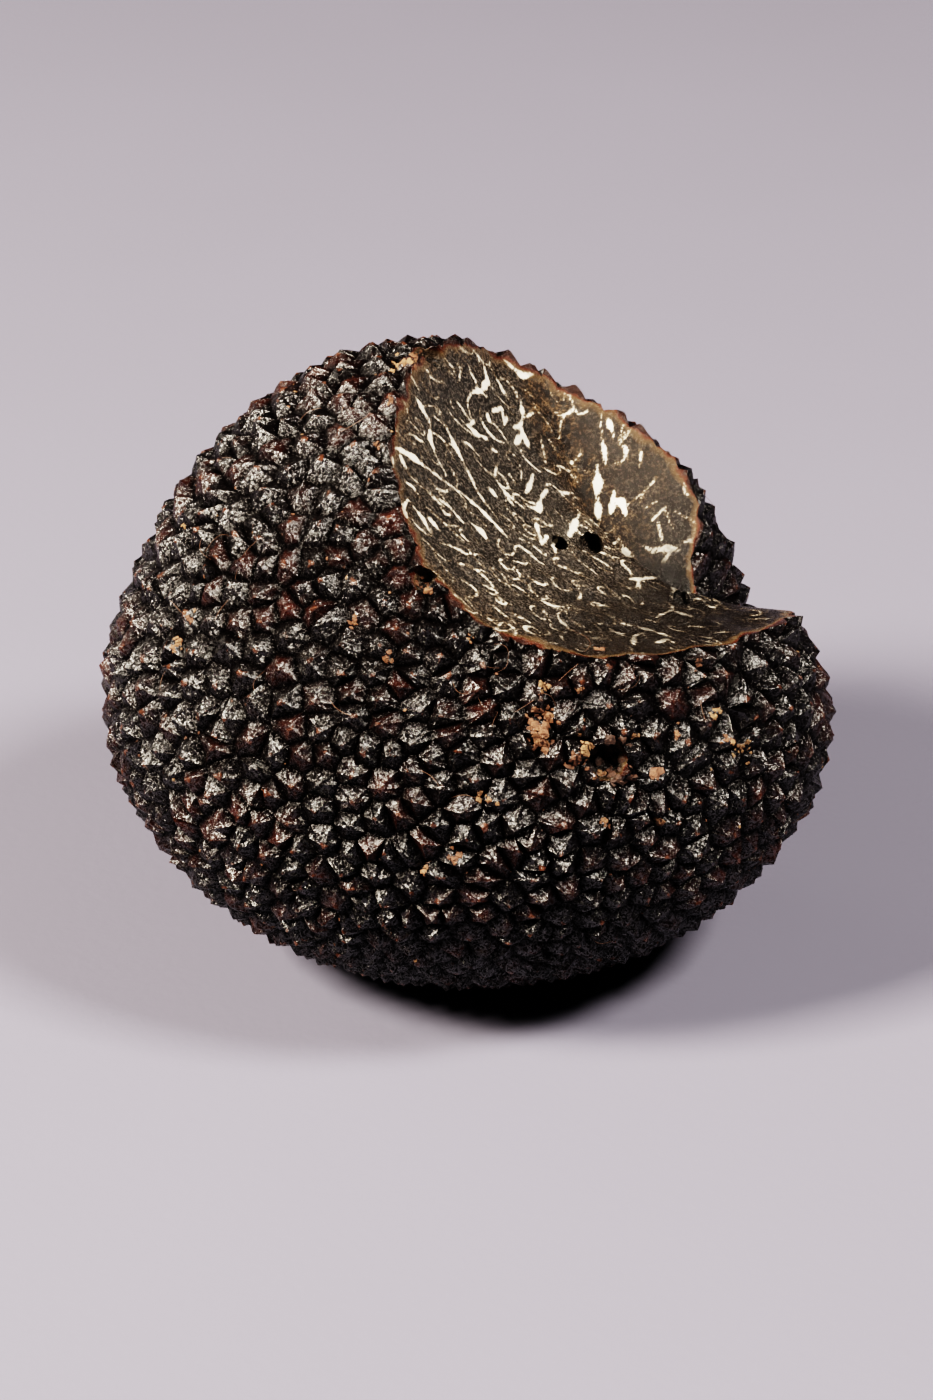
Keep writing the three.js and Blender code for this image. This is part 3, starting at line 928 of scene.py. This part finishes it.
def finish_flesh():
    measures = ("vein_edge", "above_body", "from_crease", "on_shelf")
    tree, spot = start_finish(flesh_finish, measures, FLESH_NOISES)
    wander = add(tree, "MapRange", [spot["wander"], *NOISE_SPAN, -1, 1])
    on_back = add(tree, "MapRange", [spot["from_crease"], 0.5, 4])
    # pale specks, fewer on the back face
    specks = add(tree, "MapRange", [spot["grain"], 0.48, 0.62])
    fewer = add(tree, "MapRange", [on_back, 0, 1, 1, 0.38])
    specks = add(tree, "Math", [specks, fewer], operation="MULTIPLY")
    mottle = add(tree, "MapRange", [spot["mottle"], 0.38, 0.6, 0.35])
    specks = add(tree, "Math", [specks, mottle], operation="MULTIPLY")
    brown = add(tree, "Mix", [specks, FLESH_TORN, FLESH_TORN_GRAIN], data_type="RGBA")
    # torn along the upper crease, with pits painted in as dark spots of painted shade
    away = add(tree, "Math", [spot["from_crease"]], operation="ABSOLUTE")
    away = add(tree, "Math", [away, wander])
    torn = add(tree, "MapRange", [away, 5.5, 2.5])
    not_shelf = add(tree, "Math", [1, spot["on_shelf"]], operation="SUBTRACT")
    torn = add(tree, "Math", [torn, not_shelf], operation="MULTIPLY")
    # painted shade: the pits are dark spots of colour only, with no hollow in the mesh
    pits = add(tree, "MapRange", [spot["pits"], 0.46, 0.54, 0, 0.92])
    pits = add(tree, "Math", [pits, torn], operation="MULTIPLY")
    # brown where it is torn, where it dried toward the rim, in patches, and on the back face
    near_rim = add(tree, "MapRange", [spot["above_body"], -7, -1])
    dry = add(tree, "Math", [spot["drying"], near_rim], operation="MULTIPLY")
    dry = add(tree, "MapRange", [dry, 0.25, 0.7, 0, 0.6])
    browned = add(tree, "Math", [dry, torn], operation="MAXIMUM")
    half_brown = add(tree, "Math", [on_back, 0.4], operation="MULTIPLY")
    browned = add(tree, "Math", [browned, half_brown], operation="MAXIMUM")
    # veins with a tan edge
    fray = add(tree, "MapRange", [spot["fray"], *NOISE_SPAN, -0.09, 0.09])
    edge = add(tree, "Math", [spot["vein_edge"], fray])
    halo = add(tree, "MapRange", [edge, 0.13, 0, 0, 0.45])
    vein = add(tree, "MapRange", [edge, 0.04, -0.07])
    # darker on the shelf, with thin streaks along the cut, and painted shade along the lower crease
    streaks = add(tree, "Mapping", {
        "Vector": spot["where"], "Scale": [s * PER_MM for s in STREAKS_PER_MM],
    })
    streaks = add(tree, "TexNoise", {"Vector": streaks, "Scale": 1, "Detail": 4, "Roughness": 0.6})
    streaks = add(tree, "MapRange", [streaks, 0.56, 0.66, 1, 0.25])
    shelf_darkening = add(tree, "MapRange", [spot["on_shelf"], 0.4, 0.85, 0, 0.88])
    shelf_darkening = add(tree, "Math", [shelf_darkening, streaks], operation="MULTIPLY")
    # painted shade along the lower crease
    crease_shade = add(tree, "MapRange", [away, 2.4, 1])
    low_down = add(tree, "MapRange", [spot["on_shelf"], 0.3, 0.7])
    crease_shade = add(tree, "Math", [crease_shade, low_down], operation="MULTIPLY")
    # rind: pale tan, then amber, then the dark red-brown of the skin
    shift = add(tree, "Math", [wander, 0.5], operation="MULTIPLY")
    near_skin = add(tree, "Math", [spot["above_body"], shift])
    pale = add(tree, "MapRange", [near_skin, -1.3, -0.8, 0, 0.5])
    rind = add(tree, "MapRange", [near_skin, -0.7, -0.45])
    crust = add(tree, "MapRange", [near_skin, -0.45, -0.2])
    colour = FLESH_DARK
    for share, over in (
        (specks, FLESH_GRAIN), (browned, brown), (pits, FLESH_DEEP), (halo, VEIN_TAN),
        (vein, VEIN_CREAM), (shelf_darkening, FLESH_DEEP), (crease_shade, FLESH_DEEP), (pale, RIND_TAN),
        (rind, RIND_AMBER), (crust, RIND_RED),
    ):
        colour = add(tree, "Mix", [share, colour, over], data_type="RGBA")
    rough = add(tree, "MapRange", [spot["grain"], *NOISE_SPAN, 0.16, 0.34])
    facing = add(tree, "Bump", {"Height": spot["grain"], "Strength": 1, "Distance": 0.2 * MM})
    shader = add(tree, "BsdfPrincipled", {
        "Base Color": colour, "Roughness": rough, "IOR": FLESH_IOR, "Specular IOR Level": 0.4,
        "Normal": facing,
    })
    add(tree, "OutputMaterial", [shader])


finish_flesh()
print("flesh finish has", len(flesh_finish.node_tree.nodes), "nodes")

# %% Tie the truffle to the frame
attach(truffle, "root")
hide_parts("truffle")

# %% [markdown]
# ## Crumbs of soil
# A truffle is dug out of the ground, and a brush leaves crumbs of clay in its valleys and burrows.
# A spray of particles would be quick, but the crumbs would hang in the air or sink in. Here each
# crumb is a small rough ball, flattened against the skin, that sits where a ray meets the truffle.
# The patches that the photograph shows are listed one by one, and a few hundred more lie all round.

# %% Where the crumbs are
CRUMB_PATCHES = [  # pixel of the photograph, reach in mm, number of crumbs, their size in mm, tone
    ((542, 722), 1.5, 34, 0.5, 0.5), ((540, 740), 1.1, 20, 0.42, 0.55),
    ((545, 688), 0.7, 8, 0.34, 0.8), ((389, 657), 0.7, 8, 0.3, 0.5),
    ((354, 622), 0.7, 7, 0.3, 0.45), ((484, 797), 1.0, 8, 0.34, 0.75),
    ((585, 745), 0.9, 12, 0.4, 0.85), ((581, 761), 1.2, 12, 0.45, 0.35),
    ((600, 775), 0.6, 8, 0.3, 0.7), ((614, 752), 1.8, 16, 0.5, 0.0),
    ((622, 778), 1.6, 14, 0.5, 0.05), ((655, 774), 0.2, 2, 0.68, 0.5),
    ((660, 820), 0.3, 2, 0.85, 0.75), ((604, 821), 0.5, 5, 0.42, 0.55),
    ((600, 652), 0.4, 4, 0.34, 0.5), ((578, 689), 0.5, 6, 0.28, 0.55),
    ((636, 735), 0.5, 6, 0.28, 0.9), ((677, 735), 0.5, 5, 0.3, 0.6),
    ((715, 712), 0.6, 8, 0.36, 0.9), ((742, 748), 0.9, 12, 0.4, 0.9),
    ((730, 742), 0.8, 8, 0.3, 0.5), ((697, 664), 0.6, 6, 0.34, 0.3),
    ((453, 854), 0.7, 7, 0.34, 0.35), ((425, 870), 0.5, 6, 0.3, 0.6),
    ((187, 618), 0.5, 6, 0.3, 0.45), ((178, 646), 0.7, 8, 0.3, 0.7),
    ((127, 582), 0.4, 5, 0.3, 0.85), ((182, 525), 0.4, 4, 0.3, 0.9),
    ((256, 388), 1.2, 14, 0.34, 0.7), ((400, 362), 1.3, 16, 0.4, 0.8),
    ((414, 357), 0.7, 8, 0.34, 0.55), ((377, 444), 0.5, 5, 0.34, 0.5),
    ((391, 401), 0.4, 4, 0.3, 0.5), ((424, 585), 0.9, 10, 0.34, 0.5),
    ((470, 640), 0.5, 5, 0.26, 0.6),
]
STRAY_CRUMBS = 420  # all round, where the skin is low
STRAY_SIZES = (0.08, 0.2)
STRAY_HIGHEST = 0.1  # mm above the body
STRAY_LOWEST = 0.6  # mm above the table, so that no crumb is pressed into it
CRUMB_SMALLEST = 0.35  # share of a patch's size that its smallest crumb has
CRUMB_TONES = 0.12  # how far a crumb's tone strays from its patch's
CRUMB_FLAT = 0.5
CRUMB_SUNK = 0.2  # share of its size that a crumb sits in the skin
CRUMB_ROUGH = 0.8  # push of its rough surface, as a share of its size
CRUMB_LUMPS = 1.8  # lumps of it across half the width
CRUMB_SEED = 40
SEEN_PER_MM = 10.4  # pixels
RAY_START = 60  # mm from the truffle's centre, well outside it


def land(way):
    """Where a ray toward the centre meets the truffle: the point, the way out, the face's slot."""
    place, facing, face, _ = shape.ray_cast(Vector(way * RAY_START), Vector(-way))
    if place is None:
        return None
    return np.array(place), np.array(facing), slot_of_face[face]


def crumb_places():
    rng = np.random.default_rng(11)
    found = []
    for (x, y), reach, count, size, tone in CRUMB_PATCHES:
        for _ in range(count):
            dx, dy = rng.normal(0, 0.5 * reach * SEEN_PER_MM, 2)
            place, face = seen_at(x + dx, y + dy)
            if place is not None:
                facing = np.array(truffle.data.polygons[face].normal)
                own_size = size * rng.uniform(CRUMB_SMALLEST, 1)
                own_tone = tone + rng.uniform(-CRUMB_TONES, CRUMB_TONES)
                found.append((place, facing, own_size, own_tone))
    for _ in range(STRAY_CRUMBS):
        way = unit(rng.normal(size=3))
        hit = land(way)
        if not hit or hit[0][2] < STRAY_LOWEST - CENTRE[2]:
            continue
        if hit[2] == SKIN and np.linalg.norm(hit[0]) < body_radius(way) + STRAY_HIGHEST:
            found.append((hit[0], hit[1], rng.uniform(*STRAY_SIZES), rng.uniform(0, 1)))
    return found


def make_crumbs():
    ball, faces = egg(2)
    pieces, tones = [], []
    for number, (place, facing, size, tone) in enumerate(crumb_places()):
        rough = CRUMB_ROUGH * smooth_noise(ball, CRUMB_LUMPS, CRUMB_SEED + number)
        middle = place - CRUMB_SUNK * size * facing
        sizes = (size, size, size * CRUMB_FLAT)
        pieces.append((lump(ball, rough, sizes, facing, middle), faces))
        tones.append(np.full(len(ball), tone))
    mesh = join("crumbs", pieces)
    store(mesh, "tone", "POINT", np.concatenate(tones))
    return add_object("truffle_soil_crumbs", mesh)


crumbs = make_crumbs()
print("triangles in crumbs:", len(crumbs.data.polygons))

# %% [markdown]
# ## The clay's finish
# The crumbs are clay that dried and crumbled: fine mineral powder with no gloss at all. Wet clay
# is dark brown, dry clay is amber to pale tan, and both lie side by side. Each crumb carries its
# own tone, and a fine noise shifts it within the crumb, so no two of them look alike. The bump
# has the size of coarse silt.

# %% Dry clay
CLAY_BROWN = linear("#25140b")
CLAY_AMBER = linear("#50321f")
CLAY_PALE = linear("#6d543a")


def finish_clay():
    clay = bpy.data.materials.new("dry_crumbled_clay_soil")
    tree, spot = start_finish(clay, ["tone"], [("grain", 5, 4, 0.5, 0)])
    patch = add(tree, "MapRange", [spot["grain"], *NOISE_SPAN, -0.2, 0.2])
    tone = add(tree, "Math", [spot["tone"], patch])
    colour = CLAY_BROWN
    for low, high, over in ((0, 0.5, CLAY_AMBER), (0.5, 1, CLAY_PALE)):
        share = add(tree, "MapRange", [tone, low, high])
        colour = add(tree, "Mix", [share, colour, over], data_type="RGBA")
    facing = add(tree, "Bump", {"Height": spot["grain"], "Strength": 0.8, "Distance": 0.12 * MM})
    shader = add(tree, "BsdfPrincipled", {
        "Base Color": colour, "Roughness": 0.75, "Normal": facing,
    })
    add(tree, "OutputMaterial", [shader])
    return clay


crumbs.data.materials.append(finish_clay())
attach(crumbs, "root")

# %% [markdown]
# ## Rootlets
# Hair-fine threads of fungus and root cling to the skin and bridge from wart to wart. Each one is
# a thin tube with closed ends, along a curve that starts and ends in the skin and bows out over it.

# %% Threads from wart to wart
THREADS_SEEN = [  # start and end, in pixels of the photograph, and how far it bows out in mm
    ((494, 644), (508, 660), 0.5), ((508, 660), (497, 672), 0.4), ((478, 697), (498, 712), 0.5),
    ((498, 712), (492, 726), 0.4), ((532, 697), (556, 706), 0.4), ((556, 684), (578, 664), 0.5),
    ((515, 712), (534, 700), 0.4), ((566, 628), (584, 652), 0.5), ((476, 658), (500, 668), 0.3),
    ((205, 552), (240, 545), 0.5), ((164, 598), (184, 616), 0.4), ((228, 600), (212, 640), 0.5),
    ((160, 690), (176, 660), 0.4), ((330, 700), (352, 716), 0.4), ((618, 690), (640, 676), 0.4),
    ((700, 700), (716, 728), 0.5), ((420, 770), (440, 788), 0.4), ((300, 420), (322, 408), 0.4),
]
STRAY_THREADS = 40
STRAY_SPAN = (1.6, 4.0)  # mm from end to end
SKIN_AT = 30  # mm from the truffle's centre, where its skin is on average
STRAY_BOW = (0.2, 0.5)
THREAD_LOWEST = -20  # mm from the truffle's centre
THREAD_SWAY = 0.35  # the most that a thread sways aside, as a share of its span
THREAD_RADIUS = 0.014
THREAD_SIDES = 4
THREAD_STEPS = 8


def thread_tube(start, end, bow, rng):
    """Rings of points along a bowed curve, and the triangles between them, ends included."""
    out_way = unit(start + end)
    side = unit(np.cross(end - start, out_way))
    sway = rng.uniform(-THREAD_SWAY, THREAD_SWAY) * np.linalg.norm(end - start)
    t = np.linspace(0, 1, THREAD_STEPS + 1)
    arch = np.sin(np.pi * t)
    middle = start + t[:, None] * (end - start) + arch[:, None] * (bow * out_way + sway * side)
    angle = 2 * np.pi * np.arange(THREAD_SIDES) / THREAD_SIDES
    ring = np.cos(angle)[:, None] * side + np.sin(angle)[:, None] * out_way
    points = (middle[:, None, :] + THREAD_RADIUS * ring).reshape(-1, 3)
    last = THREAD_STEPS * THREAD_SIDES
    faces = [list(range(THREAD_SIDES))[::-1], list(range(last, last + THREAD_SIDES))]
    for row in range(THREAD_STEPS):
        for k in range(THREAD_SIDES):
            a, b = row * THREAD_SIDES + k, row * THREAD_SIDES + (k + 1) % THREAD_SIDES
            faces.append([a, b, b + THREAD_SIDES, a + THREAD_SIDES])
    return points, faces


def thread_ends():
    rng = np.random.default_rng(5)
    ends = []
    for first, second, bow in THREADS_SEEN:
        start, end = seen_at(*first)[0], seen_at(*second)[0]
        if start is not None and end is not None:
            ends.append((start, end, bow))
    while len(ends) < len(THREADS_SEEN) + STRAY_THREADS:
        way = unit(rng.normal(size=3))
        to = unit(way + unit(rng.normal(size=3)) * rng.uniform(*STRAY_SPAN) / SKIN_AT)
        start, end = land(way), land(to)
        if all(hit and hit[2] == SKIN and hit[0][2] > THREAD_LOWEST for hit in (start, end)):
            ends.append((start[0], end[0], rng.uniform(*STRAY_BOW)))
    return ends


def make_threads():
    rng = np.random.default_rng(3)
    tubes = [thread_tube(start, end, bow, rng) for start, end, bow in thread_ends()]
    return add_object("truffle_rootlets", join("rootlets", tubes))


threads = make_threads()
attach(threads, "root")
print("threads:", len(threads.data.polygons), "faces")

# %% [markdown]
# ## The rootlets' finish
# Dried root fibre is bark-brown and half matt. Each thread is thinner than a hair and shows only
# as a fine line, so one even colour is enough, and a pattern would never be seen.

# %% Dry root fibre
ROOT_BROWN = linear("#5f4636")


def finish_threads():
    fibre = bpy.data.materials.new("dry_brown_root_fibre")
    tree = start_finish(fibre)[0]
    shader = add(tree, "BsdfPrincipled", {"Base Color": ROOT_BROWN, "Roughness": 0.5})
    add(tree, "OutputMaterial", [shader])
    return fibre


threads.data.materials.append(finish_threads())

# %% [markdown]
# ## The table
# The table is a board with a pale matt paint, a little cool, so that the warm black of the skin
# stands out. A wall behind it could catch shadows, so the board just runs on to the horizon. Paint
# from a roller is never quite even: a faint cloudiness and a fine stipple keep it from looking
# like empty paper.

# %% Pale matt table
FLOOR_SIZE = 3.0  # metres, so that its edge stays out of every view
PAINT_LIGHT = linear("#565562")
PAINT_DARK = linear("#52515d")
PAINT_NOISES = [("cloud", 0.012, 3, 0.5, 0), ("stipple", 0.8, 2, 0.5, 0)]


def finish_table():
    paint = bpy.data.materials.new("pale_matt_painted_board")
    tree, spot = start_finish(paint, noises=PAINT_NOISES)
    colour = add(tree, "Mix", [spot["cloud"], PAINT_DARK, PAINT_LIGHT], data_type="RGBA")
    facing = add(tree, "Bump", {"Height": spot["stipple"], "Strength": 0.3, "Distance": 0.1 * MM})
    shader = add(tree, "BsdfPrincipled", {
        "Base Color": colour, "Roughness": 0.85, "Normal": facing,
    })
    add(tree, "OutputMaterial", [shader])
    return paint


def make_floor():
    half = FLOOR_SIZE / 2
    square = [(-half, -half, 0), (half, -half, 0), (half, half, 0), (-half, half, 0)]
    mesh = bpy.data.meshes.new("floor")
    mesh.from_pydata(square, [], [(0, 1, 2, 3)])
    mesh.materials.append(finish_table())
    return add_object("floor", mesh)


make_floor()
print("the table is", FLOOR_SIZE, "m wide")

# %% [markdown]
# ## The light
# The skin is nearly black, so almost all that the eye sees of it is light that its waxy facets
# throw back. A small softbox from the upper left gives each facet a sharp glint and leaves the
# others black. A weaker one from the upper right fills the wall of the wedge and the right side,
# and a weak one behind keeps the far side readable. A big sky of light would be easier, but it
# would turn the black skin grey. The film keeps deep blacks, as the photograph has them.

# %% Lights
LAMPS = [  # name, place and size in metres, watts, colour
    ("key softbox", (-0.56, -0.28, 0.6), 0.2, 35, "#fff3e2"),
    ("second softbox", (0.42, -0.22, 0.68), 0.17, 17, "#fff6ea"),
    ("back softbox", (-0.7, 0.6, 0.4), 0.3, 2, "#fff6ea"),
]
ROOM_LIGHT = linear("#a9a7b0")
ROOM_STRENGTH = 0.035


def aim(thing, target):
    direction = Vector(target) - thing.location
    thing.rotation_euler = direction.to_track_quat("-Z", "Y").to_euler()


def add_softbox(name, place, size, watts, colour):
    lamp = bpy.data.lights.new(name, "AREA")
    lamp.size = size
    lamp.energy = watts
    lamp.color = linear(colour)[:3]
    softbox = add_object(name, lamp)
    softbox.location = place
    aim(softbox, CENTRE * MM)


for lamp in LAMPS:
    add_softbox(*lamp)
world = bpy.data.worlds.new("studio")
bpy.context.scene.world = world
world.use_nodes = True
room = world.node_tree.nodes["Background"].inputs
room["Color"].default_value = ROOM_LIGHT
room["Strength"].default_value = ROOM_STRENGTH
print(len(LAMPS), "softboxes and the room's faint light")

# %% Film
film = bpy.context.scene.view_settings
film.view_transform = "Filmic"
film.look = "Very High Contrast"
print("film:", film.view_transform, film.look)

# %% [markdown]
# ## The camera
# The camera looks down by thirty degrees from a third of a metre away, with a long lens, as the
# photograph was taken. Its place is the eye that the bold veins were seen with, so each vein
# comes out where it was placed.

# %% Camera
def make_camera():
    data = bpy.data.cameras.new("camera")
    data.lens = LENS
    data.sensor_width = SENSOR
    camera = add_object("camera", data)
    camera.location = (eye + CENTRE) * MM
    aim(camera, (CAMERA_TARGET + CENTRE) * MM)
    bpy.context.scene.camera = camera
    return camera


print("camera at, m:", [round(c, 3) for c in make_camera().location])
